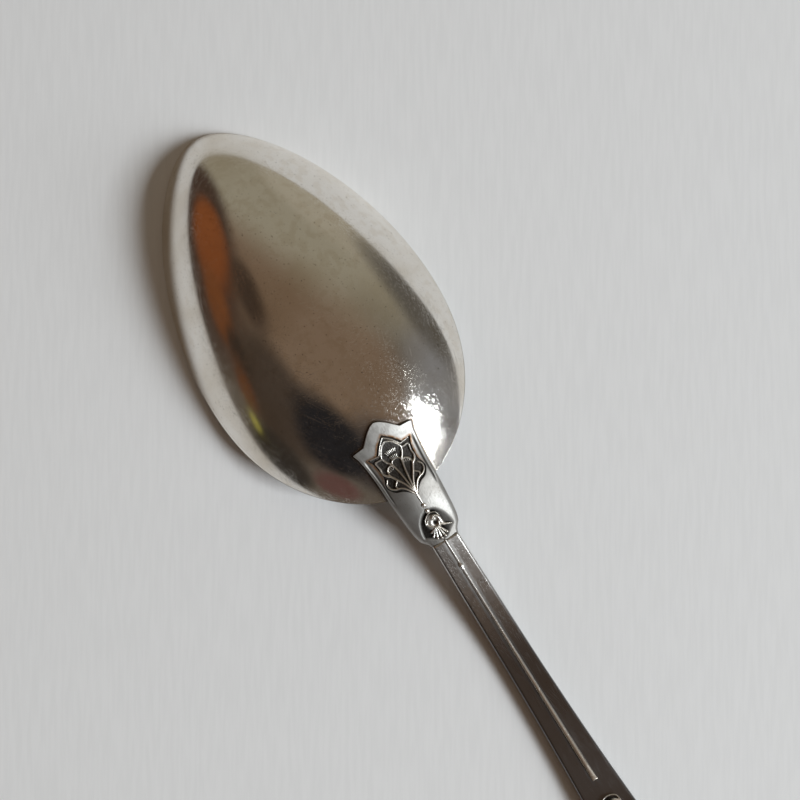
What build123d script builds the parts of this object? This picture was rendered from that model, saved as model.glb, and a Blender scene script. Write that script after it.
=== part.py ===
"""Souvenir teaspoon, lying face down: the back of the bowl and of the handle are on top.

+X runs from the tip of the bowl to the end of the handle, +Z is up, and the table is z = 0.
The origin is under the middle of the spoon. Stations are distances from the bowl's tip, in mm.
"""
from build123d import *
import os
from math import atan, cos, exp, radians, sin, sqrt, tan

# ---- driving dimensions, mm ----
overall_length = 140.0
bowl_end = 47.1           # where the rim of the bowl runs into the neck
bowl_depth = 8.3
dome_middle = 24.7        # middle and half length of the dome that the bowl is cut from
dome_half = 24.5
dome_tilt = 2.0           # degrees: the dome leans a little, with its heel end up
dome_lift = 0.3
sheet = 0.95              # thickness of the bowl at its rim
rim_bend = 19.0           # station where the rim turns up from the table
rim_bend_half = 4.0       # half the length over which it turns
rim_slope = 0.14          # rise of the rim per mm from there to the neck
crest_station = 71.0      # where the arched handle touches the table
arch_to_end = 0.00126     # rise of the handle's underside per mm squared, towards its free end
handle_gauge = 1.6        # thickness of the handle far from the bowl
neck_extra = 0.9          # added thickness where the neck meets the bowl
neck_fade = 9.0           # length over which the added thickness dies away
drop_gauge = 0.5          # thickness of the heel drop on the back of the bowl
shoulder_station = 53.4   # end of the neck, start of the handle
handle_bevel = 0.3
tenon_length = 2.4
tenon_width = 1.5
tenon_height = 0.8
tenon_middle = 3.4        # height of the tenon's middle above the table
relief = 0.38             # height of the applied flowers
groove_depth = 0.22       # depth of the lines between their petals
rib_height = 0.24
finial_flower_scale = 2.3

# ---- driving stations and outlines, mm from the tip and from the centre line ----
drop_apex = 38.4
drop_notch = (40.2, 2.42)
drop_ear = (40.1, 3.8)
neck_side = [(44.6, 3.12), (47.1, 3.1), (50.4, 2.83), (52.4, 2.4), (53.05, 1.82)]
handle_side = [
    (shoulder_station, 1.66), (60.0, 1.76), (72.0, 1.94), (84.6, 2.4), (95.0, 3.15), (106.0, 4.5),
    (116.0, 6.1), (125.0, 7.0), (131.5, 6.6), (136.5, 4.4), (139.2, 1.7), (overall_length, 0.0),
]
rib_line = [(53.5, 0.12), (56.8, 0.2), (84.8, 0.32)]
rib_dot_radius = 0.36
heel_flower_base = 47.3
flower_stem_end = 48.57
flower_stem_half_width = 0.16
bead_stations = (48.93, 49.66)
bead_radius = 0.3
neck_bud = (51.05, -0.1)
neck_bud_radius = 1.05
handle_bud_station = 88.7
handle_bud_radius = 1.8
bud_height = 0.9
back_flower = (113.5, 2.3)     # base station and scale of the finial's flowers
front_flower = (114.5, 1.9)

os.makedirs("parts", exist_ok=True)
tilt = radians(dome_tilt)
arch_to_bowl = rim_slope * (bowl_end - rim_bend) / (crest_station - bowl_end) ** 2
root_softness = 0.279     # rounds the foot of the bowl's side where it meets the rim
cut_reach = 20.0          # half width of the cutting bodies, wider than the spoon


def along(station):
    """X of a station measured from the tip."""
    return station - overall_length / 2


# ---- shape of the bowl ----
def end_fall(t):
    """Share of the bowl's depth that is lost at t, which runs from -1 at the tip to 1 at the heel."""
    return 0.8 * t**2 + 0.2 * t**4 - 0.12 * (t**3 - t)


def breadth(t):
    """Half breadth that the bowl would have at t if its ends didn't close."""
    return 14.228 + 3.847 * t - 0.654 * t**2 - 1.773 * t**3 - 2.408 * t**4


def dome(t, y, inset=0.0):
    """Height of the bowl's back above the dome's foot, or of its hollow when inset."""
    fullness = max(1 - end_fall(t) - (y / (breadth(t) - inset)) ** 2, -0.25)
    rise = sqrt(root_softness + fullness) - sqrt(root_softness)
    return (bowl_depth - inset) * rise / (sqrt(root_softness + 1) - sqrt(root_softness))


def dome_face(inset):
    """Spline face of the whole dome, a little larger than its outline, tilted about the tip."""
    overrun = 1.016
    rows = []
    for i in range(31):
        t = -overrun + 2 * overrun * i / 30
        reach = (breadth(t) - inset) * sqrt(1.2 - end_fall(t))
        station = dome_middle + t * (dome_half - inset)
        row = []
        for j in range(21):
            y = reach * (j / 10 - 1)
            height = dome(t, y, inset)
            x = along(station * cos(tilt) - height * sin(tilt))
            row.append((x, y, dome_lift + station * sin(tilt) + height * cos(tilt)))
        rows.append(row)
    return Face.make_surface_from_array_of_points(rows)


def back_height(station, y):
    """Height above the table of the back of the bowl."""
    height = 0.0
    for _ in range(5):
        t = (station * cos(tilt) + height * sin(tilt) - dome_middle) / dome_half
        height = (dome(t, y) + station * sin(tilt)) / cos(tilt)
    return dome_lift + height


# ---- shape of the neck and handle, seen from the side ----
def underside(station):
    arch = arch_to_bowl if station < crest_station else arch_to_end
    return arch * (station - crest_station) ** 2


def top_side(station):
    return underside(station) + handle_gauge + neck_extra * exp((bowl_end - station) / neck_fade)


def neck_top(station, y):
    """Top of the heel drop, which follows the bowl in front and becomes the crowned neck."""
    share = min(max((station - 42) / 5, 0), 1)
    share = share * share * (3 - 2 * share)
    drop = back_height(station, y) + drop_gauge
    neck = top_side(station) - 0.09 * y**2
    return drop + (neck - drop) * share


def neck_face(lift):
    """Spline face over the drop and neck, raised by lift."""
    rows = []
    for i in range(25):
        station = 37.6 + (shoulder_station + 1 - 37.6) * i / 24
        ys = [4.6 * (j / 8 - 1) for j in range(17)]
        rows.append([(along(station), y, neck_top(station, y) + lift) for y in ys])
    return Face.make_surface_from_array_of_points(rows)


def handle_band(first, last, low, high):
    """Solid as wide as the finial between two height functions of the station."""
    stations = [first + (last - first) * i / 16 for i in range(17)]
    with BuildPart(mode=Mode.PRIVATE) as band:
        with BuildSketch(Plane.XZ):
            with BuildLine():
                lower = Spline([(along(s), low(s)) for s in stations])
                upper = Spline([(along(s), high(s)) for s in stations])
                Line(lower @ 0, upper @ 0)
                Line(lower @ 1, upper @ 1)
            make_face()
        extrude(amount=cut_reach, both=True)
    return band.part


def prism(outline, height=14.0):
    """Upright solid on a closed sketch."""
    with BuildPart(mode=Mode.PRIVATE) as solid:
        add(outline)
        extrude(amount=height)
    return solid.part


def below(face):
    """Everything under a surface."""
    with BuildPart(mode=Mode.PRIVATE) as solid:
        extrude(face, amount=30, dir=(0, 0, -1))
    return solid.part


def drop_outline():
    """Heel drop with its pointed tip and two ears, then the neck and its shoulders."""
    with BuildSketch(Plane.XY) as sketch:
        with BuildLine():
            apex = (along(drop_apex), 0)
            notch = (along(drop_notch[0]), drop_notch[1])
            ear = (along(drop_ear[0]), drop_ear[1])
            side = [(along(s), y) for s, y in neck_side]
            ThreePointArc(apex, (along(38.95), 1.35), notch)
            ThreePointArc(notch, (along(40.28), 3.1), ear)
            ThreePointArc(ear, (along(42.2), 3.3), side[0])
            Spline(side)
            Line(side[-1], (along(shoulder_station), handle_side[0][1]))
            Line((along(shoulder_station), handle_side[0][1]), (along(shoulder_station), 0))
            mirror(about=Plane.XZ)
        make_face()
    return sketch.sketch


def flower_outline(base, scale=1.0, reach=1.0):
    """Lily seen from the side, pointing from base towards the tip, or the other way if reach is -1."""
    def at(x, y):
        return (along(base - reach * scale * x), scale * y)

    with BuildSketch(Plane.XY) as sketch:
        with BuildLine():
            ThreePointArc(at(0, 0), at(0.52, 0.32), at(0.9, 0.75))
            Spline([at(0.9, 0.75), at(1.5, 1.75), at(2.05, 2.3), at(2.6, 2.42), at(3.1, 1.98)])
            ThreePointArc(at(3.1, 1.98), at(4.2, 2.08), at(5.1, 2.5))
            Line(at(5.1, 2.5), at(5.75, 2.8))
            ThreePointArc(at(5.75, 2.8), at(5.6, 2.2), at(5.7, 1.65))
            ThreePointArc(at(5.7, 1.65), at(6.85, 1.05), at(7.4, 0))
            mirror(about=Plane.XZ)
        make_face()
    return sketch.sketch


def petal_lines(base, scale=1.0, reach=1.0):
    """Grooves that part the middle petal from the side petals and the leaves."""
    def at(x, y):
        return (along(base - reach * scale * x), scale * y)

    with BuildSketch(Plane.XY) as sketch:
        for side in (1, -1):
            with BuildLine():
                rim = ThreePointArc(at(5.6, side * 1.5), at(4.6, side * 1.25), at(3.8, side * 0.55))
            trace(rim, line_width=0.2 * scale)
            with BuildLine():
                leaf = ThreePointArc(at(3.0, side * 1.75), at(1.9, side * 1.2), at(1.0, side * 0.3))
            trace(leaf, line_width=0.2 * scale)
    return sketch.sketch


def leaf_outline(root, point, half_width):
    """Pointed leaf from a root station to a point station."""
    middle = (root + point) / 2
    with BuildSketch(Plane.XY) as sketch:
        with BuildLine():
            ThreePointArc((along(root), 0), (along(middle), half_width), (along(point), 0))
            ThreePointArc((along(point), 0), (along(middle), -half_width), (along(root), 0))
        make_face()
    return sketch.sketch


# ---- shared cutting bodies ----
with BuildPart() as above_rim:
    with BuildSketch(Plane.XZ):
        with BuildLine():
            front_end = (along(-5), 0)
            corner = (along(rim_bend), 0)
            heel_end = (along(60), rim_slope * (60 - rim_bend))
            rim = FilletPolyline(front_end, corner, heel_end, radius=rim_bend_half / tan(atan(rim_slope) / 2))
            Polyline(rim @ 1, (along(60), 20), (along(-5), 20), rim @ 0)
        make_face()
    extrude(amount=cut_reach, both=True)

with BuildPart() as bowl_block:
    extrude(dome_face(0.0), amount=30, dir=(0, 0, -1))
    add(above_rim.part, mode=Mode.INTERSECT)

under_neck = below(neck_face(0.0))
under_neck_relief = below(neck_face(relief))
handle_body = handle_band(50.0, overall_length + 1, underside, top_side)
over_handle = handle_band(50.0, overall_length + 1, top_side, lambda s: top_side(s) + relief)
under_handle = handle_band(50.0, overall_length + 1, lambda s: underside(s) - relief, underside)
rib_band = handle_band(50.0, 100.0, top_side, lambda s: top_side(s) + rib_height)
under_back = handle_band(50.0, overall_length + 1, lambda s: -cut_reach, top_side)

# ---- bowl ----
with BuildPart() as bowl:
    add(bowl_block.part)
    extrude(dome_face(sheet), amount=30, dir=(0, 0, -1), mode=Mode.SUBTRACT)
bowl.part.label = "bowl"
export_step(bowl.part, "parts/bowl.step")

# ---- heel drop: tongue on the back of the bowl, neck and shoulders, with the handle's socket ----
with BuildPart() as heel_drop:
    add(prism(drop_outline()))
    add(under_neck, mode=Mode.INTERSECT)
    with BuildSketch(Plane.XZ):
        with BuildLine():
            neck_span = shoulder_station + 1 - bowl_end
            front = Spline([(along(s), underside(s)) for s in (bowl_end + neck_span * i / 4 for i in range(5))])
            lift_off = (along(30), rim_slope * (30 - rim_bend) + 0.3)
            Polyline(front @ 1, (along(60), -5), (along(30), -5), lift_off, front @ 0)
        make_face()
    extrude(amount=cut_reach, both=True, mode=Mode.SUBTRACT)
    add(bowl_block.part, mode=Mode.SUBTRACT)
    with Locations((along(shoulder_station - tenon_length / 2), 0, tenon_middle)):
        Box(tenon_length, tenon_width, tenon_height, mode=Mode.SUBTRACT)
heel_drop.part.label = "heel_drop"
export_step(heel_drop.part, "parts/heel_drop.step")

# ---- handle: one tapered, arched bar that widens into the finial, with a tenon for the neck ----
with BuildPart() as handle:
    with BuildSketch(Plane.XY):
        with BuildLine():
            side = Spline([(along(s), y) for s, y in handle_side])
            Line((along(shoulder_station), 0), side @ 0)
            mirror(about=Plane.XZ)
        make_face()
    extrude(amount=14)
    add(handle_body, mode=Mode.INTERSECT)
    back = handle.faces().filter_by(lambda f: f.normal_at().Z > 0.8)
    chamfer(back.edges().filter_by(lambda e: e.length > 20), length=handle_bevel)
    with Locations((along(shoulder_station - tenon_length / 2), 0, tenon_middle)):
        Box(tenon_length, tenon_width, tenon_height)
handle.part.label = "handle"
export_step(handle.part, "parts/handle.step")

# ---- midrib: raised line along the back of the handle, with a dot near its start ----
with BuildPart() as midrib:
    with BuildSketch(Plane.XY):
        with BuildLine():
            rib_side = Polyline([(along(s), half_width) for s, half_width in rib_line])
            Line(rib_side @ 1, (along(rib_line[-1][0]), 0))
            Line(rib_side @ 0, (along(rib_line[0][0]), 0))
            mirror(about=Plane.XZ)
        make_face()
        with Locations((along(rib_line[1][0]), 0)):
            Circle(rib_dot_radius)
    extrude(amount=14)
    add(rib_band, mode=Mode.INTERSECT)
    add(under_back, mode=Mode.SUBTRACT)
midrib.part.label = "midrib"
export_step(midrib.part, "parts/midrib.step")

# ---- flower on the heel drop ----
petal_grooves = prism(petal_lines(heel_flower_base)) - below(neck_face(relief - groove_depth))
with BuildPart() as heel_flower:
    add(prism(flower_outline(heel_flower_base)))
    add(under_neck_relief, mode=Mode.INTERSECT)
    add(under_neck, mode=Mode.SUBTRACT)
    add(petal_grooves, mode=Mode.SUBTRACT)
heel_flower.part.label = "heel_flower"
export_step(heel_flower.part, "parts/heel_flower.step")

# ---- stem line from the flower to its beads ----
with BuildPart() as flower_stem:
    with BuildSketch(Plane.XY):
        stem_length = flower_stem_end - heel_flower_base
        with Locations((along(heel_flower_base + stem_length / 2), 0)):
            Rectangle(stem_length, 2 * flower_stem_half_width)
    extrude(amount=14)
    add(under_neck_relief, mode=Mode.INTERSECT)
    add(under_neck, mode=Mode.SUBTRACT)
flower_stem.part.label = "flower_stem"
export_step(flower_stem.part, "parts/flower_stem.step")

# ---- two beads at the end of the stem line ----
with BuildPart() as stem_beads:
    for station in bead_stations:
        with Locations((along(station), 0, neck_top(station, 0))):
            Sphere(bead_radius)
    add(under_neck, mode=Mode.SUBTRACT)
stem_beads.part.label = "stem_beads"
export_step(stem_beads.part, "parts/stem_beads.step")


def bud_ball(station, y, radius, seat):
    """Ball that stands bud_height above its seat with the given radius where it meets it."""
    ball = (radius**2 + bud_height**2) / (2 * bud_height)
    return Pos(along(station), y, seat + bud_height - ball) * Sphere(ball)


# ---- rosebud at the shoulders, with a curled leaf and a fan of sepals ----
bud_station, bud_y = neck_bud
neck_ball = bud_ball(bud_station, bud_y, neck_bud_radius, neck_top(bud_station, bud_y))
sepals = leaf_outline(bud_station, 53.3, 0.95)
with BuildSketch(Plane.XY) as curled_leaf:
    with BuildLine():
        ThreePointArc((along(50.6), 1.0), (along(51.6), 1.75), (along(52.5), 1.7))
        ThreePointArc((along(52.5), 1.7), (along(51.9), 1.15), (along(51.5), 0.6))
        Line((along(51.5), 0.6), (along(50.6), 1.0))
    make_face()
with BuildPart() as neck_bud_part:
    add(prism(sepals))
    add(prism(curled_leaf.sketch))
    add(under_neck_relief, mode=Mode.INTERSECT)
    add(neck_ball)
    add(under_neck, mode=Mode.SUBTRACT)
neck_bud_part.part.label = "neck_bud"
export_step(neck_bud_part.part, "parts/neck_bud.step")

# ---- second bud, where the handle begins to widen ----
handle_ball = bud_ball(handle_bud_station, 0, handle_bud_radius, top_side(handle_bud_station))
with BuildPart() as handle_bud:
    add(prism(leaf_outline(85.4, handle_bud_station + 4.2, 1.5)))
    add(over_handle, mode=Mode.INTERSECT)
    add(handle_ball)
    add(under_back, mode=Mode.SUBTRACT)
handle_bud.part.label = "handle_bud"
export_step(handle_bud.part, "parts/handle_bud.step")

# ---- flowers on the back and the front of the finial ----
finial_flowers = {
    "finial_flower_back": (*back_flower, over_handle),
    "finial_flower_front": (*front_flower, under_handle),
}
for name, (base, scale, band) in finial_flowers.items():
    with BuildPart() as finial_flower:
        add(prism(flower_outline(base, scale, reach=-1)))
        add(band, mode=Mode.INTERSECT)
    finial_flower.part.label = name
    export_step(finial_flower.part, f"parts/{name}.step")
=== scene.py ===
"""Souvenir teaspoon lying face down: high-resolution pieces, silver materials, light and camera.

Stations are distances in mm from the tip of the bowl, widths are mm from the centre line, and
heights are mm above the table. to_frame() turns them into the row's frame, in metres.
"""
import math
import bmesh
import bpy
import numpy as np
from mathutils import Matrix, Vector


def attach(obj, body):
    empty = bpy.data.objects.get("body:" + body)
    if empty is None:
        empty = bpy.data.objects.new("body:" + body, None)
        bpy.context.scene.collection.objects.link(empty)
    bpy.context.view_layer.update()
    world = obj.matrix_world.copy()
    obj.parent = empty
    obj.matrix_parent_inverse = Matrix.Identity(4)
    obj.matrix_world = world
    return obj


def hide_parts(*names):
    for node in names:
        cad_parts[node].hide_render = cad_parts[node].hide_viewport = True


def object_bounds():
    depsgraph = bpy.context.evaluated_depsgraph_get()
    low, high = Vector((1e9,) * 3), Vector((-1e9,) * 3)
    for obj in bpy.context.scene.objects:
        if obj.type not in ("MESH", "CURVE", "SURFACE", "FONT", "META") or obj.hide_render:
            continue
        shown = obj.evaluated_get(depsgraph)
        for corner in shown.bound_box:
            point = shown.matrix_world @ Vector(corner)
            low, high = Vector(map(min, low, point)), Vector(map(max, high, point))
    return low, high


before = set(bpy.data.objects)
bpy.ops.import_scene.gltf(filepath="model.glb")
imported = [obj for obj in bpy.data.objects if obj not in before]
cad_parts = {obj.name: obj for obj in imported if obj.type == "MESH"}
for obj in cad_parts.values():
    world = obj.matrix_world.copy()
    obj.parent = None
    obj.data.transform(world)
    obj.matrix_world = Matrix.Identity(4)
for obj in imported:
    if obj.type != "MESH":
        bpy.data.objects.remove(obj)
cad_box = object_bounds()

# ---- driving dimensions, mm, as in the CAD model ----
OVERALL = 1000 * (cad_box[1][0] - cad_box[0][0])
BOWL_END = 47.1
BOWL_DEPTH = 8.3
DOME_MIDDLE = 24.7
DOME_HALF = 24.5
TILT = math.radians(2.0)
DOME_LIFT = 0.3
SHEET = 0.95
RIM_BEND = 19.0
RIM_BEND_HALF = 4.0
RIM_SLOPE = 0.14
CREST = 71.0
ARCH_TO_END = 0.00126
GAUGE = 1.6
NECK_EXTRA = 0.9
NECK_FADE = 9.0
DROP_GAUGE = 0.5
SHOULDER = 53.4
ARCH_TO_BOWL = RIM_SLOPE * (BOWL_END - RIM_BEND) / (CREST - BOWL_END) ** 2
ROOT = 0.279

# ---- outlines and ornaments: (station, distance from the centre line) ----
DROP_TIP = [(38.3, 0.0), (38.5, 0.55), (38.95, 1.2), (39.55, 1.85), (40.12, 2.42)]
DROP_EAR = [(40.2, 3.8), (41.1, 3.5), (42.6, 3.28), (44.6, 3.13), (47.1, 3.08), (50.4, 2.84)]
NECK_END = [(51.5, 2.7), (52.3, 2.42), (52.85, 1.95), (53.4, 1.68)]
HANDLE_SIDE = [
    (53.4, 1.66), (60.0, 1.76), (72.0, 1.94), (84.6, 2.4), (95.0, 3.15), (106.0, 4.5),
    (116.0, 6.1), (125.0, 7.0), (131.5, 6.6), (136.5, 4.4), (139.2, 1.7), (139.95, 0.3),
]
FLOWER_FIELD = [
    (47.7, 0.0), (47.0, 0.5), (46.45, 1.15), (46.1, 1.95), (45.3, 2.5), (44.7, 2.45), (43.9, 2.2),
    (42.4, 2.38), (41.55, 2.75), (41.6, 1.66), (40.7, 0.95), (39.9, 0.0),
]
BUD_FIELD = [
    (49.25, 0.0), (49.55, 0.85), (50.3, 1.6), (51.2, 1.95), (52.2, 2.05), (52.6, 1.5), (53.2, 0.55),
    (53.3, 0.0),
]


# ---- shape of the bowl, the neck and the handle ----
def breadth(t):
    return 14.228 + 3.847 * t - 0.654 * t**2 - 1.773 * t**3 - 2.408 * t**4


def closing(t):
    """How the ends differ from an ellipse's."""
    return 1 + 0.2 * t**2 - 0.12 * t


def dome(fullness, inset=0.0):
    rise = np.sqrt(ROOT + np.maximum(fullness, -0.25)) - math.sqrt(ROOT)
    return (BOWL_DEPTH - inset) * rise / (math.sqrt(ROOT + 1) - math.sqrt(ROOT))


def back_height(station, y):
    """Height of the back of the bowl above the table."""
    height = 0.0
    for _ in range(6):
        t = (station * math.cos(TILT) + height * math.sin(TILT) - DOME_MIDDLE) / DOME_HALF
        fullness = closing(t) * (1 - t**2) - (y / breadth(t)) ** 2
        height = (dome(fullness) + station * math.sin(TILT)) / math.cos(TILT)
    return DOME_LIFT + height


def rim_height(station):
    """Height of the rim: flat on the table in front, then bending up towards the neck."""
    past = np.clip(station - RIM_BEND + RIM_BEND_HALF, 0, 2 * RIM_BEND_HALF)
    beyond = np.maximum(station - RIM_BEND - RIM_BEND_HALF, 0)
    return RIM_SLOPE * (past**2 / (4 * RIM_BEND_HALF) + beyond)


def underside(station):
    arch = np.where(station < CREST, ARCH_TO_BOWL, ARCH_TO_END)
    return arch * (station - CREST) ** 2


def top_side(station):
    return underside(station) + GAUGE + NECK_EXTRA * np.exp((BOWL_END - station) / NECK_FADE)


def smooth_step(x, low, high):
    x = np.clip((x - low) / (high - low), 0, 1)
    return x * x * (3 - 2 * x)


def bell(x, width):
    return np.exp(-((x / width) ** 2))


def neck_top(station, y):
    share = smooth_step(station, 42, 47)
    drop = back_height(station, y) + DROP_GAUGE
    return drop + (top_side(station) - 0.09 * y**2 - drop) * share


def handle_top(station, y):
    """Top of the handle, a very low roof."""
    return top_side(station) - 0.025 * np.abs(y)


def handle_bottom(station, y):
    return underside(station) + 0 * y


# ---- curves, distances and meshes ----
def smooth_line(points, steps=8):
    """Curve through a few points."""
    p = np.array(points, float)
    ends = np.vstack([2 * p[0] - p[1], p, 2 * p[-1] - p[-2]])
    t = np.linspace(0, 1, steps, endpoint=False)[:, None]
    runs = []
    for a, b, c, d in zip(ends[:-3], ends[1:-2], ends[2:-1], ends[3:]):
        bend = (2 * a - 5 * b + 4 * c - d) * t**2 + (3 * b - a - 3 * c + d) * t**3
        runs.append(0.5 * (2 * b + (c - a) * t + bend))
    return np.vstack(runs + [p[-1:]])


def mirrored(points):
    """Closed outline from one half that starts and ends on the centre line."""
    half = np.array(points, float)
    return np.vstack([half, (half * (1, -1))[-2:0:-1]])


def distance(s, y, line, widths=(1.0, 1.0)):
    """Distance to a line, in units of its width, which runs from the first width to the last."""
    best = np.full(s.shape, 1e9)
    share = np.linspace(0, 1, len(line))
    for (a, b), u, v in zip(zip(line[:-1], line[1:]), share[:-1], share[1:]):
        run = b - a
        f = np.clip(((s - a[0]) * run[0] + (y - a[1]) * run[1]) / max(run @ run, 1e-12), 0, 1)
        width = widths[0] + (widths[1] - widths[0]) * (u + (v - u) * f)
        best = np.minimum(best, np.hypot(s - a[0] - f * run[0], y - a[1] - f * run[1]) / width)
    return best


def signed_distance(s, y, outline):
    """Distance to a closed outline, negative inside it."""
    ring = np.vstack([outline, outline[:1]])
    inside = np.zeros(s.shape, bool)
    for a, b in zip(ring[:-1], ring[1:]):
        crosses = (a[1] > y) != (b[1] > y)
        span = b[1] - a[1] if b[1] != a[1] else 1e-12
        inside ^= crosses & (s < (b[0] - a[0]) * (y - a[1]) / span + a[0])
    return np.where(inside, -1, 1) * distance(s, y, ring)


def to_frame(station, y, height):
    """Points of the row's frame, in metres."""
    x = station - OVERALL / 2
    return np.stack(np.broadcast_arrays(x, y, height), axis=-1) / 1000


def from_frame(points):
    """Stations and widths of points of the frame, in mm."""
    return 1000 * points[:, 0] + OVERALL / 2, 1000 * points[:, 1]


def make_piece(name, points, faces, node, material, marks=None):
    """Mesh piece that rides with the spoon, stands for its CAD node and has a silver material."""
    mesh = bpy.data.meshes.new(name)
    mesh.from_pydata(points.tolist(), [], faces)
    for mark, values in (marks or {}).items():
        layer = mesh.attributes.new(mark, "FLOAT", "POINT")
        layer.data.foreach_set("value", np.ascontiguousarray(values, dtype=np.float32))
    shell = bmesh.new()
    shell.from_mesh(mesh)
    bmesh.ops.recalc_face_normals(shell, faces=shell.faces)
    shell.to_mesh(mesh)
    shell.free()
    mesh.shade_smooth()
    mesh.materials.append(material)
    piece = bpy.data.objects.new(name, mesh)
    bpy.context.collection.objects.link(piece)
    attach(piece, "root")
    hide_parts(node)
    return piece


def ring_faces(rows, columns):
    """Quads between closed rings, with the first and last ring closed by a fan to one point each."""
    i, j = np.meshgrid(np.arange(rows - 1), np.arange(columns), indexing="ij")
    k = (j + 1) % columns
    quads = np.stack([i * columns + j, i * columns + k, (i + 1) * columns + k, (i + 1) * columns + j], -1)
    j = np.arange(columns)
    k = (j + 1) % columns
    first = rows * columns
    start = np.stack([k, j, np.full(columns, first)], -1)
    last = (rows - 1) * columns
    end = np.stack([last + j, last + k, np.full(columns, first + 1)], -1)
    return [*quads.reshape(-1, 4).tolist(), *start.tolist(), *end.tolist()]


def closed_rings(rings):
    """Points and faces of a solid made of rings (rows x columns x 3)."""
    points = np.vstack([rings.reshape(-1, 3), rings[0].mean(0)[None], rings[-1].mean(0)[None]])
    return points, ring_faces(*rings.shape[:2])


def bar(stations, half, top, bottom, across, top_round, bottom_round):
    """Rings of a bar: dense over its top, with rounded edges, upright sides and a plainer underside."""
    s = stations[:, None]
    half = half[:, None]
    top_round = np.broadcast_to(top_round, stations.shape)[:, None]
    y = half * np.linspace(-1, 1, across)[None]
    edge = np.clip(np.abs(y) - (half - top_round), 0, top_round)
    upper = to_frame(s, y, top(s, y) - top_round + np.sqrt(top_round**2 - edge**2))
    y = half * np.cos(np.linspace(0, math.pi, 21))[None]
    bottom_round = np.minimum(bottom_round, 0.9 * half)
    edge = np.clip(np.abs(y) - (half - bottom_round), 0, bottom_round)
    lower = to_frame(s, y, bottom(s, y) + bottom_round - np.sqrt(bottom_round**2 - edge**2))
    share = np.array([0.25, 0.5, 0.75])[None, :, None]
    right = upper[:, -1:] + (lower[:, :1] - upper[:, -1:]) * share
    left = lower[:, -1:] + (upper[:, :1] - lower[:, -1:]) * share
    return np.concatenate([upper, right, lower, left], axis=1)


def patch(s, y, height, depth, keep):
    """Closed skin over the kept cells of a grid, with the grid index of each of its points."""
    rows, columns = s.shape
    index = np.arange(rows * columns).reshape(rows, columns)
    cells = keep[:-1, :-1] & keep[1:, :-1] & keep[:-1, 1:] & keep[1:, 1:]
    corner = [index[:-1, :-1], index[1:, :-1], index[1:, 1:], index[:-1, 1:]]
    top = np.stack([c[cells] for c in corner], -1)
    walls = []
    framed = np.pad(cells, 1)
    for a, b, i, j in ((0, 1, 1, 0), (1, 2, 2, 1), (2, 3, 1, 2), (3, 0, 0, 1)):
        rim = cells & ~framed[i:i + rows - 1, j:j + columns - 1]
        low, high = corner[a][rim], corner[b][rim]
        walls.append(np.stack([high, low, low + rows * columns, high + rows * columns], -1))
    faces = np.vstack([top, top[:, ::-1] + rows * columns, *walls])
    points = np.vstack([to_frame(s, y, height).reshape(-1, 3), to_frame(s, y, height - depth).reshape(-1, 3)])
    used, faces = np.unique(faces, return_inverse=True)
    return points[used], faces.reshape(-1, 4).tolist(), used % (rows * columns)


def grid(low, high, step):
    s, y = (np.arange(a, b + step, step) for a, b in zip(low, high))
    return np.meshgrid(s, y, indexing="ij")


def ridge(s, y, points, widths, height, smooth=True):
    """Rounded ridge along a line; widths are its half widths at both ends."""
    line = smooth_line(points) if smooth else np.array(points, float)
    return height * np.sqrt(np.clip(1 - distance(s, y, line, widths) ** 2, 0, 1))


# ---- silver ----
# grey of patina, and of a painted darker reflection along the handle
PATINA_AND_DARK_REFLECTION = (0.19, 0.18, 0.18, 1)
SPECK = (0.16, 0.12, 0.09, 1)
OXIDE = (0.20, 0.10, 0.04, 1)
# near-black of the painted shade in recesses, with dark tarnish
RECESS_SHADE_AND_TARNISH = (0.014, 0.010, 0.008, 1)
BUMP_DEPTH = 0.00001    # metres per unit of surface height


class Nodes:
    """Short names for making and linking shader nodes."""

    def __init__(self, tree):
        self.tree = tree
        tree.nodes.clear()

    def add(self, kind, settings, inputs):
        node = self.tree.nodes.new(kind)
        for name, value in settings.items():
            setattr(node, name, value)
        for name, value in inputs.items():
            if isinstance(value, bpy.types.NodeSocket):
                self.tree.links.new(value, node.inputs[name])
            else:
                node.inputs[name].default_value = value
        return node

    def math(self, operation, a, b):
        return self.add("ShaderNodeMath", {"operation": operation}, {0: a, 1: b}).outputs[0]

    def span(self, value, low, high, to_low=0.0, to_high=1.0):
        """Smooth step of a value between low and high."""
        limits = {"Value": value, "From Min": low, "From Max": high, "To Min": to_low, "To Max": to_high}
        return self.add("ShaderNodeMapRange", {"interpolation_type": "SMOOTHSTEP"}, limits).outputs[0]

    def mix(self, share, a, b):
        return self.add("ShaderNodeMix", {"data_type": "RGBA"}, {0: share, 6: a, 7: b}).outputs[2]

    def mark(self, name):
        return self.add("ShaderNodeAttribute", {"attribute_name": name}, {}).outputs["Fac"]

    def noise(self, scale, detail=3.0, stretch=(1.0, 1.0, 1.0), turn=0.0):
        """Noise whose scale is in cells per mm."""
        place = self.add("ShaderNodeTexCoord", {}, {}).outputs["Object"]
        turned = self.add("ShaderNodeMapping", {}, {"Vector": place, "Rotation": (0, 0, turn)}).outputs[0]
        sizes = tuple(1000 * scale * k for k in stretch)
        scaled = self.add("ShaderNodeMapping", {}, {"Vector": turned, "Scale": sizes}).outputs[0]
        inputs = {"Vector": scaled, "Scale": 1.0, "Detail": detail}
        return self.add("ShaderNodeTexNoise", {}, inputs).outputs["Fac"]


def scratches(nodes, turn):
    """Mask of thin, straight, broken scratches at an angle."""
    lines = nodes.span(nodes.noise(12.0, 1.0, (0.02, 1.0, 1.0), turn), 0.63, 0.69)
    return nodes.math("MULTIPLY", lines, nodes.span(nodes.noise(0.4, 2.0, turn=turn + 1.0), 0.42, 0.57))


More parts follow.
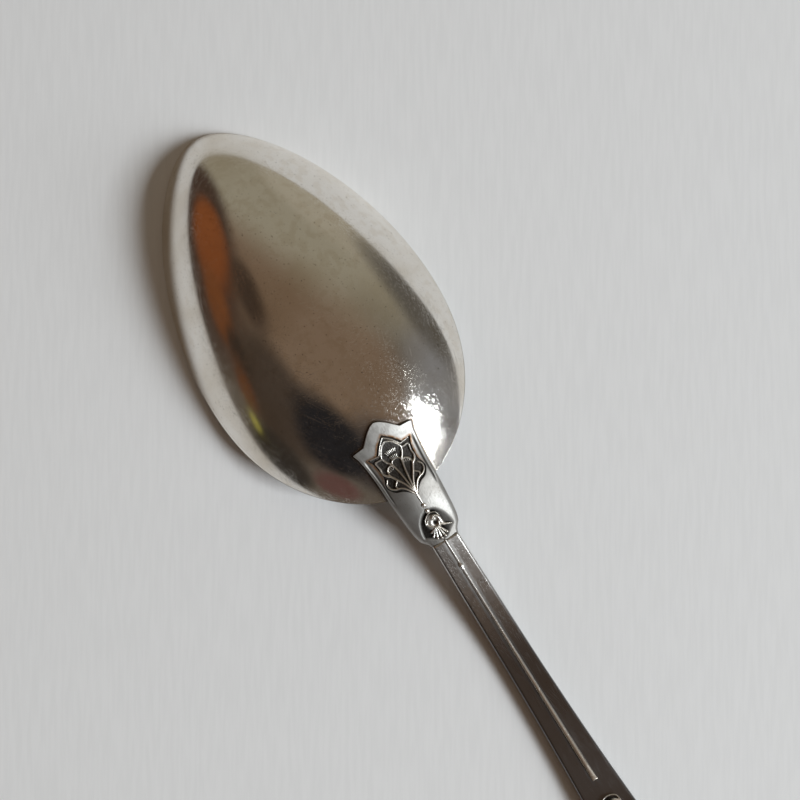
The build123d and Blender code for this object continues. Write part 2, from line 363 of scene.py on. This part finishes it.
def silver(name, tone, tarnish, roughness, scratch_turns, grain, depth):
    """Worn silver, with painted shade and dark tarnish in the recesses of its relief.

    Clouds and freckles of tarnish take the place of its tone, roughness grows with the clouds, there
    is a set of scratches for each turn, and its grain has cells per mm and a depth.
    """
    material = bpy.data.materials.new(name)
    material.use_nodes = True
    nodes = Nodes(material.node_tree)
    clouds = nodes.noise(0.11, 4.0)
    freckles = nodes.math("MULTIPLY", nodes.span(nodes.noise(1.3, 2.0), 0.66, 0.74), 0.35)
    mottle = nodes.math("MULTIPLY", nodes.span(nodes.noise(0.9, 5.0), 0.45, 0.65), 0.5)
    spots = nodes.math("MAXIMUM", freckles, mottle)
    colour = nodes.mix(nodes.math("MAXIMUM", nodes.span(clouds, 0.42, 0.72), spots), tone, tarnish)
    # patina, and a painted darker reflection where the mark says
    colour = nodes.mix(nodes.mark("patina_and_dark_reflection"), colour, PATINA_AND_DARK_REFLECTION)
    specks = nodes.math("MULTIPLY", nodes.span(nodes.noise(4.5, 1.0), 0.70, 0.75), 0.6)
    colour = nodes.mix(specks, colour, SPECK)
    marks = scratches(nodes, scratch_turns[0])
    for turn in scratch_turns[1:]:
        marks = nodes.math("MAXIMUM", marks, scratches(nodes, turn))
    rough = nodes.math("ADD", nodes.span(clouds, 0.3, 0.75, *roughness), nodes.math("MULTIPLY", marks, 0.12))
    grained = nodes.math("MULTIPLY", nodes.noise(grain, 2.0, (0.12, 1.0, 1.0)), depth)
    height = nodes.math("ADD", grained, nodes.math("MULTIPLY", marks, -0.14))
    stain = nodes.math("MULTIPLY", nodes.mark("oxide"), nodes.span(nodes.noise(3.0), 0.3, 0.6, 0.55, 1.0))
    colour = nodes.mix(stain, colour, OXIDE)
    # painted shade and dark tarnish in the recesses, stippled
    cavity = nodes.mark("cavity")
    stipple = nodes.noise(7.0, 2.0)
    dark = nodes.math("MULTIPLY", cavity, nodes.span(stipple, 0.25, 0.8, 1.0, 0.85))
    colour = nodes.mix(dark, colour, RECESS_SHADE_AND_TARNISH)
    rough = nodes.math("ADD", rough, nodes.math("MULTIPLY", cavity, 0.4))
    pits = nodes.math("MULTIPLY", nodes.math("MULTIPLY", stipple, cavity), 1.5)
    height = nodes.math("ADD", height, pits)
    bump = nodes.add("ShaderNodeBump", {}, {"Height": height, "Distance": BUMP_DEPTH}).outputs[0]
    inputs = {"Base Color": colour, "Metallic": 1.0, "Roughness": rough, "Normal": bump}
    shader = nodes.add("ShaderNodeBsdfPrincipled", {}, inputs).outputs[0]
    nodes.add("ShaderNodeOutputMaterial", {}, {"Surface": shader})
    return material


BOWL_SILVER = silver(
    "bowl_silver", (0.88, 0.85, 0.80, 1), (0.74, 0.68, 0.59, 1), (0.07, 0.14), (0.3, 1.2, 1.9, 2.6), 4.0, 0.11
)
NECK_SILVER = silver(
    "neck_silver", (0.50, 0.49, 0.465, 1), (0.27, 0.255, 0.235, 1), (0.44, 0.58), (0.05, 1.1, 2.9), 6.0, 1.3
)
HANDLE_SILVER = silver(
    "handle_silver", (0.78, 0.76, 0.73, 1), (0.44, 0.42, 0.39, 1), (0.24, 0.34), (0.02, 0.1, 2.9), 6.0, 0.4
)
RELIEF_SILVER = silver(
    "relief_silver", (0.90, 0.88, 0.84, 1), (0.74, 0.68, 0.60, 1), (0.26, 0.34), (0.4, 1.9), 6.0, 0.3
)


# ---- bowl: thin shell with a rounded rim ----
def dome_point(rho, theta, inset):
    """Station, width and height on the dome's outer or inner side; rho is 0 at its top."""
    t = rho * np.cos(theta)
    y = (breadth(t) - inset) * np.sqrt(closing(t)) * rho * np.sin(theta)
    own = DOME_MIDDLE + t * (DOME_HALF - inset)
    height = dome(closing(t) * (1 - rho**2), inset)
    ripple = np.sin(0.75 * own + 0.4 * y) * np.sin(0.6 * y - 0.2 * own) + np.sin(0.31 * own - 0.5 * y + 1)
    height = height - 0.006 * (ripple + 2) * smooth_step(height, 0.3, 2.0)
    station = own * math.cos(TILT) - height * math.sin(TILT)
    return station, y, DOME_LIFT + own * math.sin(TILT) + height * math.cos(TILT)


def rim_reach(theta, inset):
    """Where, in rho, the dome meets the rim's height."""
    low, high = np.full(theta.shape, 0.5), np.full(theta.shape, 1.03)
    for _ in range(30):
        middle = (low + high) / 2
        s, _, z = dome_point(middle, theta, inset)
        above = z > rim_height(s)
        low, high = np.where(above, middle, low), np.where(above, high, middle)
    return low


def make_bowl():
    theta = np.linspace(0, 2 * math.pi, 400, endpoint=False)
    theta = theta - 0.6 * np.sin(theta)
    outer, inner = rim_reach(theta, 0.0), rim_reach(theta, SHEET)
    rings = [to_frame(*dome_point(outer * math.sin(a), theta, 0.0)) for a in np.linspace(0.01, 1.5, 130)]
    edge = np.stack(dome_point(outer, theta, 0.0)[:2], -1)
    width = np.stack(dome_point(inner, theta, SHEET)[:2], -1) - edge
    for share, height in ((0.03, 0.07), (0.08, 0.02), (0.17, 0.0), (0.8, 0.0), (0.91, 0.02), (0.97, 0.06)):
        s, y = (edge + share * width).T
        rings.append(to_frame(s, y, rim_height(s) + height))
    rings += [to_frame(*dome_point(inner * math.sin(a), theta, SHEET)) for a in np.linspace(1.47, 0.01, 40)]
    points, faces = closed_rings(np.array(rings))
    station, y = from_frame(points)
    near = np.clip(signed_distance(station, y, mirrored(drop_half())), 0, 9)
    ends = smooth_step(station, 36, 39) * (1 - smooth_step(station, 44, 47))
    marks = {
        "oxide": 0.9 * bell(near, 0.34) * ends,
        # painted shadow line along the drop's edge, where its steep side meets the bowl
        "cavity": 0.95 * bell(near, 0.25) * smooth_step(station, 37, 38.5),
    }
    make_piece("bowl_shell", points, faces, "bowl", BOWL_SILVER, marks)


# ---- flower, bud and the fields they lie in ----
FLOWER_LINES = [
    ([(40.2, 0.0), (40.85, 0.72), (41.74, 1.40)], (0.11, 0.10), 0.24),
    ([(41.74, 1.40), (41.62, 2.45)], (0.10, 0.08), 0.24),
    ([(40.72, 0.0), (41.05, 0.6), (41.9, 1.2), (42.35, 1.2), (42.9, 0.92), (43.25, 0.6)], (0.11, 0.11), 0.26),
    ([(42.2, 1.25), (42.15, 2.1)], (0.10, 0.09), 0.22),
    ([(43.25, 0.6), (42.95, 0.4), (42.84, 0.0)], (0.09, 0.09), 0.24),
    ([(43.25, 0.6), (44.6, 0.33), (46.2, 0.13), (47.3, 0.0)], (0.12, 0.09), 0.28),
    ([(43.3, 0.62), (43.33, 1.05), (43.65, 1.42), (44.25, 1.48)], (0.09, 0.09), 0.22),
    ([(44.25, 1.48), (44.9, 1.1), (45.7, 0.62), (46.5, 0.27), (47.3, 0.02)], (0.13, 0.10), 0.26),
    ([(42.3, 2.15), (43.0, 2.02), (43.6, 2.05), (44.0, 1.82), (44.25, 1.5)], (0.10, 0.16), 0.27),
    ([(44.45, 2.0), (44.9, 2.28), (45.5, 2.15), (45.85, 1.7), (46.0, 1.2), (46.4, 0.72), (47.4, 0.1)],
     (0.10, 0.12), 0.27),
    ([(45.15, 1.15), (45.5, 1.5), (45.92, 1.45)], (0.09, 0.10), 0.24),
]


def flower_lift(s, y):
    """Height of the flower above its field, in the heel flower's own place and size."""
    side = np.abs(y)
    lift = np.zeros(s.shape)
    for points, widths, height in FLOWER_LINES:
        lift = np.maximum(lift, ridge(s, side, points, widths, height))
    for row, count, reach in ((41.72, 7, 0.62), (42.4, 5, 0.42)):
        for place in np.linspace(-reach, reach, count):
            stamen = [(row + 0.35 + 0.25 * place**2, 0.75 * place), (row + 0.25 * place**2, place)]
            lift = np.maximum(lift, ridge(s, y, stamen, (0.04, 0.065), 0.17, smooth=False))
    for place in (0.75, 0.95, 1.15, 1.35):
        tooth = [(43.42 + 0.25 * (place - 0.7), place), (43.68 + 0.3 * (place - 0.7), place - 0.06)]
        lift = np.maximum(lift, ridge(s, side, tooth, (0.055, 0.04), 0.17, smooth=False))
    return lift


BUD_LINES = [
    ([(50.72, 0.84), (50.2, 0.68), (49.97, 0.15), (50.07, -0.35), (50.45, -0.8), (50.95, -0.96)],
     (0.07, 0.09), 0.26),
    ([(50.68, -0.02), (50.48, 0.36), (50.85, 0.66), (51.4, 0.66)], (0.15, 0.30), 0.46),
    ([(51.4, 0.66), (51.8, 0.88), (52.15, 1.62)], (0.32, 0.07), 0.42),
    ([(50.85, 0.66), (51.25, 0.5), (51.6, 0.33), (51.72, 0.02)], (0.16, 0.10), 0.42),
    ([(50.62, -0.62), (50.85, -0.82), (51.15, -0.78), (51.38, -0.58)], (0.06, 0.11), 0.34),
    ([(51.38, -0.58), (51.6, -0.3), (51.68, 0.0)], (0.10, 0.09), 0.34),
]
SEPALS = [(51.95, -0.84), (52.45, -0.9), (52.82, -0.6), (53.02, -0.15), (52.98, 0.3), (52.68, 0.66)]


def bud_lift(s, y):
    """Height of the rosebud above its field: rolled petals, a curled leaf and a fan of sepals."""
    lift = 0.17 * np.sqrt(np.clip(1 - (s - 51.05) ** 2 - (y + 0.05) ** 2, 0, 1))
    lift = lift * (1 - np.exp(-(((s - 51.15) ** 2 + (y - 0.05) ** 2) / 0.07)))
    for points, widths, height in BUD_LINES:
        lift = np.maximum(lift, ridge(s, y, points, widths, height))
    for end in SEPALS:
        sepal = [(51.72, 0.02 + 0.3 * end[1]), end]
        lift = np.maximum(lift, ridge(s, y, sepal, (0.06, 0.17), 0.25, smooth=False))
    return lift


def drop_half():
    """Half outline of the heel drop and neck, from the drop's tip to the shoulders."""
    half = np.vstack([smooth_line(DROP_TIP), smooth_line(DROP_EAR), smooth_line(NECK_END)])
    return np.vstack([half, [(SHOULDER, 0.0)]])


# Outlines of the sunk fields, and the depth of the flower's.
FLOWER_OUTLINE = mirrored(np.vstack([smooth_line(FLOWER_FIELD[:9]), FLOWER_FIELD[9:]]))
BUD_OUTLINE = mirrored(smooth_line(BUD_FIELD))
FIELD_DEPTH = 0.2
SEAT_OVERLAP = 0.02    # how far the edge of an ornament reaches into what it stands on


def flower_sink(s, y):
    """Depth of the flower's field, which has steep sides."""
    return FIELD_DEPTH * smooth_step(-signed_distance(s, y, FLOWER_OUTLINE), 0.0, 0.09)


def bud_sink(s, y):
    """Depth of the bud's field, which has soft sides and is shallower on its +Y side."""
    inside = smooth_step(-signed_distance(s, y, BUD_OUTLINE), 0.0, 0.5)
    return 0.17 * inside * (1 - 0.45 * smooth_step(y, 0.3, 1.4))


# ---- heel drop, neck and shoulders ----
def make_heel_drop():
    outline = drop_half()[:-1]
    stations = np.unique(np.concatenate([np.arange(38.33, SHOULDER, 0.05), [40.11, 40.15, 40.17, SHOULDER]]))
    half = np.interp(stations, outline[:, 0], outline[:, 1])

    def border(s, y):
        """Engraved line inside each side of the drop."""
        inside = np.interp(s, outline[:, 0], outline[:, 1]) - np.abs(y)
        ends = smooth_step(s, 41.2, 42.2) * (1 - smooth_step(s, 46.6, 47.8))
        return bell(inside - 0.42, 0.1) * ends

    def top(s, y):
        s, y = np.broadcast_arrays(s, y)
        return neck_top(s, y) - flower_sink(s, y) - bud_sink(s, y) - 0.12 * border(s, y)

    def bottom(s, y):
        inside = np.maximum(back_height(s, y) - 0.35, rim_height(s) + 0.02)
        return inside + (underside(s) - inside) * smooth_step(s, 46.4, 47.3)

    rounding = np.minimum(np.interp(stations, [44, 48, 52.4, SHOULDER], [0.12, 0.5, 0.5, 0.32]), half * 0.9)
    points, faces = closed_rings(bar(stations, half, top, bottom, 121, rounding, 0.1))
    s, y = from_frame(points)
    flower = signed_distance(s, y, FLOWER_OUTLINE)
    field = np.maximum(smooth_step(-flower, -0.06, 0.05), np.minimum(bud_sink(s, y) / 0.15, 1))
    marks = {
        "oxide": bell(flower - 0.05, 0.16) * (1 - smooth_step(s, 43.5, 45.5)),
        # painted shade and dark tarnish in the sunk fields and along the engraved line
        "cavity": np.maximum(field, 0.8 * border(s, y)),
        # darker towards the shoulders: patina and a painted darker reflection
        "patina_and_dark_reflection": 0.15 * smooth_step(s, 46, 52),
    }
    make_piece("neck_and_drop", points, faces, "heel_drop", NECK_SILVER, marks)


# ---- ornaments ----
def make_relief(name, node, low, high, step, seat, shape, way=1):
    """Ornament on a seat, up or down from it. shape gives its height, where it is kept and how dark it is,
    with painted shade and dark tarnish in its low parts.
    """
    s, y = grid(low, high, step)
    lift, keep, cavity = shape(s, y)
    points, faces, used = patch(s, y, seat(s, y) + way * lift, 0.2 * way, keep)
    make_piece(name, points, faces, node, RELIEF_SILVER, {"cavity": cavity.ravel()[used]})


def sunk_flower(s, y):
    lift = flower_lift(s, y)
    inside = signed_distance(s, y, FLOWER_OUTLINE) < 0.04
    return lift - FIELD_DEPTH + 0.01, inside, 1 - smooth_step(lift, 0.03, 0.12)


def sunk_bud(s, y):
    lift = bud_lift(s, y)
    return lift - bud_sink(s, y) - SEAT_OVERLAP, lift > 0.0, 1 - smooth_step(lift, 0.05, 0.17)


def raised_flower(base, scale):
    """Flower that stands on the end of the handle, with its stem end at the base station."""
    def shape(s, y):
        own_s, own_y = 47.7 - (s - base) / scale, y / scale
        outside = signed_distance(own_s, own_y, FLOWER_OUTLINE)
        rim = 0.16 * bell(outside + 0.1, 0.09)
        lift = np.maximum(flower_lift(own_s, own_y), rim)
        height = (1.3 * lift + 0.07) * smooth_step(-outside, 0.0, 0.06)
        return height - SEAT_OVERLAP, outside < 0.0, 1 - smooth_step(lift, 0.05, 0.16)
    return shape


def raised_bud(station, scale):
    """Bud that stands on the handle, the same way round as the one on the neck."""
    def shape(s, y):
        lift = bud_lift(51.05 + (s - station) / scale, y / scale)
        return 0.9 * scale * lift - SEAT_OVERLAP, lift > 0.0, 1 - smooth_step(lift, 0.1, 0.25)
    return shape


def stem_line(s, y):
    lift = ridge(s, y, [(47.3, 0.0), (48.6, 0.0)], (0.13, 0.10), 0.2, smooth=False)
    return lift - SEAT_OVERLAP, lift > 0.0, 1 - smooth_step(lift, 0.05, 0.15)


def beads(s, y):
    lift = np.zeros(s.shape)
    for centre in (48.93, 49.66):
        lift = np.maximum(lift, np.sqrt(np.clip(0.28**2 - (s - centre) ** 2 - y**2, 0, 1)))
    return lift - SEAT_OVERLAP, lift > 0.0, 1 - smooth_step(lift, 0.02, 0.12)


# ---- handle ----
def make_handle():
    side = smooth_line(HANDLE_SIDE)
    stations = np.concatenate([np.arange(SHOULDER, 139.0, 0.25), np.linspace(139.0, 139.93, 16)])
    half = np.maximum(np.interp(stations, side[:, 0], side[:, 1]), 0.05)
    rings = bar(stations, half, handle_top, handle_bottom, 61, np.minimum(0.3, half * 0.9), 0.25)
    points, faces = closed_rings(rings)
    s, y = from_frame(points)
    shade = bell(np.abs(y + 0.05) - 0.3, 0.14) * (1 - smooth_step(s, 84, 86))
    # The handle darkens away from the neck: patina, and a painted darker reflection of the dim room overhead.
    marks = {"cavity": 0.5 * shade, "patina_and_dark_reflection": 0.15 + 0.85 * smooth_step(s, 52, 70)}
    make_piece("handle_bar", points, faces, "handle", HANDLE_SILVER, marks)


def make_midrib():
    """Raised line that starts under the sepals, swells into a dot and widens slowly."""
    stations = np.arange(SHOULDER, 84.9, 0.1)
    half = np.interp(stations, [SHOULDER, 56.4, 56.8, 57.2, 84.9], [0.12, 0.15, 0.3, 0.17, 0.32])
    height = np.interp(stations, [SHOULDER, 56.4, 56.8, 57.2, 83, 84.9], [0.2, 0.2, 0.26, 0.2, 0.22, 0.05])
    arc = np.linspace(0, math.pi, 13)[None]
    y = half[:, None] * np.cos(arc)
    seat = handle_top(stations[:, None], 0 * y)
    upper = to_frame(stations[:, None], y, seat + height[:, None] * np.sin(arc))
    lower = to_frame(stations[:, None], y[:, ::-1], seat - 0.15)
    points, faces = closed_rings(np.concatenate([upper, lower], axis=1))
    make_piece("handle_rib", points, faces, "midrib", RELIEF_SILVER)


make_bowl()
make_heel_drop()
make_handle()
make_midrib()
make_relief("heel_lily", "heel_flower", (39.8, -2.9), (47.8, 2.9), 0.03, neck_top, sunk_flower)
make_relief("lily_stem", "flower_stem", (47.2, -0.3), (48.7, 0.3), 0.02, neck_top, stem_line)
make_relief("pair_of_beads", "stem_beads", (48.5, -0.4), (50.1, 0.4), 0.02, neck_top, beads)
make_relief("neck_rosebud", "neck_bud", (49.2, -2.2), (53.4, 2.2), 0.025, neck_top, sunk_bud)
make_relief(
    "handle_rosebud", "handle_bud", (85.0, -2.6), (93.0, 2.6), 0.04,
    handle_top, raised_bud(88.7, 1.5),
)
make_relief(
    "finial_lily_back", "finial_flower_back", (113.0, -6.9), (132.5, 6.9), 0.09,
    handle_top, raised_flower(113.5, 2.3),
)
make_relief(
    "finial_lily_front", "finial_flower_front", (114.0, -5.6), (130.0, 5.6), 0.09,
    handle_bottom, raised_flower(114.5, 1.9), way=-1,
)


# ---- floor, light and camera ----
def make_floor():
    """Pale table top with a faint grain."""
    mesh = bpy.data.meshes.new("floor")
    corners = [(-1.5, -1.5, 0), (1.5, -1.5, 0), (1.5, 1.5, 0), (-1.5, 1.5, 0)]
    mesh.from_pydata(corners, [], [(0, 1, 2, 3)])
    material = bpy.data.materials.new("pale_table")
    material.use_nodes = True
    nodes = Nodes(material.node_tree)
    streaks = nodes.noise(2.2, 3.0, (1.0, 0.08, 1.0), -1.01)
    colour = nodes.mix(nodes.span(streaks, 0.3, 0.7), (0.80, 0.80, 0.80, 1), (0.83, 0.83, 0.83, 1))
    shader = nodes.add("ShaderNodeBsdfPrincipled", {}, {"Base Color": colour, "Roughness": 0.75}).outputs[0]
    nodes.add("ShaderNodeOutputMaterial", {}, {"Surface": shader})
    mesh.materials.append(material)
    floor = bpy.data.objects.new("floor", mesh)
    bpy.context.collection.objects.link(floor)


def direction(azimuth, elevation):
    """Unit vector of a direction in degrees, azimuth turning from +X to +Y."""
    a, e = math.radians(azimuth), math.radians(elevation)
    return Vector((math.cos(e) * math.cos(a), math.cos(e) * math.sin(a), math.sin(e)))


# Soft patches of the room around the table: azimuth, elevation, radius, softness, colour.
ROOM = [
    (-120, 80, 50, 25, (0.170, 0.118, 0.080)),
    (143, 12, 55, 30, (0.270, 0.245, 0.185)),
    (120, 8, 18, 16, (0.330, 0.300, 0.235)),
    (50, 12, 32, 18, (0.200, 0.198, 0.202)),
    (90, 6, 16, 12, (0.100, 0.092, 0.080)),
    (-137, 13, 35, 14, (0.056, 0.036, 0.026)),
    (-136, 25, 16, 11, (0.185, 0.060, 0.020)),
    (-114, 21, 8, 8, (0.150, 0.055, 0.020)),
    (-82, 38, 20, 12, (0.055, 0.040, 0.030)),
    (-122, 53, 9, 8, (0.050, 0.034, 0.025)),
    (-101, 25, 6, 5, (0.035, 0.027, 0.021)),
    (-95, 19, 5, 5, (0.110, 0.045, 0.020)),
    (-12, 42, 22, 14, (0.048, 0.040, 0.037)),
    (-50, 48, 18, 10, (0.016, 0.015, 0.016)),
    (-74, 9, 14, 8, (0.030, 0.025, 0.021)),
    (-48, 18, 10, 7, (0.110, 0.056, 0.050)),
    (-88, 12, 2.5, 2, (0.400, 0.380, 0.080)),
]


# Both parts of the window: name, elevation, height in metres and power.
WINDOW = [("window_sky", 33.5, 0.35, 20.6), ("window_low", 20, 0.26, 3.0)]
WINDOW_AZIMUTH = 36


def make_room():
    world = bpy.data.worlds.new("room")
    world.use_nodes = True
    bpy.context.scene.world = world
    nodes = Nodes(world.node_tree)
    place = nodes.add("ShaderNodeTexCoord", {}, {}).outputs["Generated"]
    colour = (0.115, 0.098, 0.080, 1)
    for azimuth, elevation, radius, softness, tone in ROOM:
        toward = {0: place, 1: direction(azimuth, elevation)}
        cosine = nodes.add("ShaderNodeVectorMath", {"operation": "DOT_PRODUCT"}, toward).outputs["Value"]
        rim = math.cos(math.radians(radius + softness / 2))
        core = math.cos(math.radians(max(radius - softness / 2, 0)))
        colour = nodes.mix(nodes.span(cosine, rim, core), colour, (*tone, 1))
    shader = nodes.add("ShaderNodeBackground", {}, {"Color": colour}).outputs[0]
    nodes.add("ShaderNodeOutputWorld", {}, {"Surface": shader})


def make_window():
    """Soft window light beside the spoon. Only its bright upper part shows in the silver."""
    target = Vector((-0.03, 0, 0))
    for name, elevation, height, power in WINDOW:
        light = bpy.data.lights.new(name, "AREA")
        light.shape = "RECTANGLE"
        light.size = 0.58
        light.size_y = height
        light.energy = power
        light.color = (0.905, 0.96, 1.0)
        lamp = bpy.data.objects.new(name, light)
        lamp.location = target + 1.4 * direction(WINDOW_AZIMUTH, elevation)
        lamp.rotation_euler = (lamp.location - target).to_track_quat("Z", "Y").to_euler()
        lamp.visible_glossy = name == "window_sky"
        bpy.context.collection.objects.link(lamp)


def make_camera():
    camera = bpy.data.cameras.new("camera")
    camera.lens = 127.7
    camera.sensor_width = 36
    camera.clip_start = 0.01
    eye = Vector((-0.01842, -0.00479, 0.3196))
    aim = Vector((-0.03262, 0.0041, 0.0))
    upward = Vector((-0.8476, 0.5306, 0.0))
    back = (eye - aim).normalized()
    right = upward.cross(back).normalized()
    up = back.cross(right)
    viewer = bpy.data.objects.new("camera", camera)
    viewer.matrix_world = Matrix.Translation(eye) @ Matrix((right, up, back)).transposed().to_4x4()
    bpy.context.collection.objects.link(viewer)
    bpy.context.scene.camera = viewer


make_floor()
make_room()
make_window()
make_camera()
bpy.context.scene.view_settings.view_transform = "Standard"
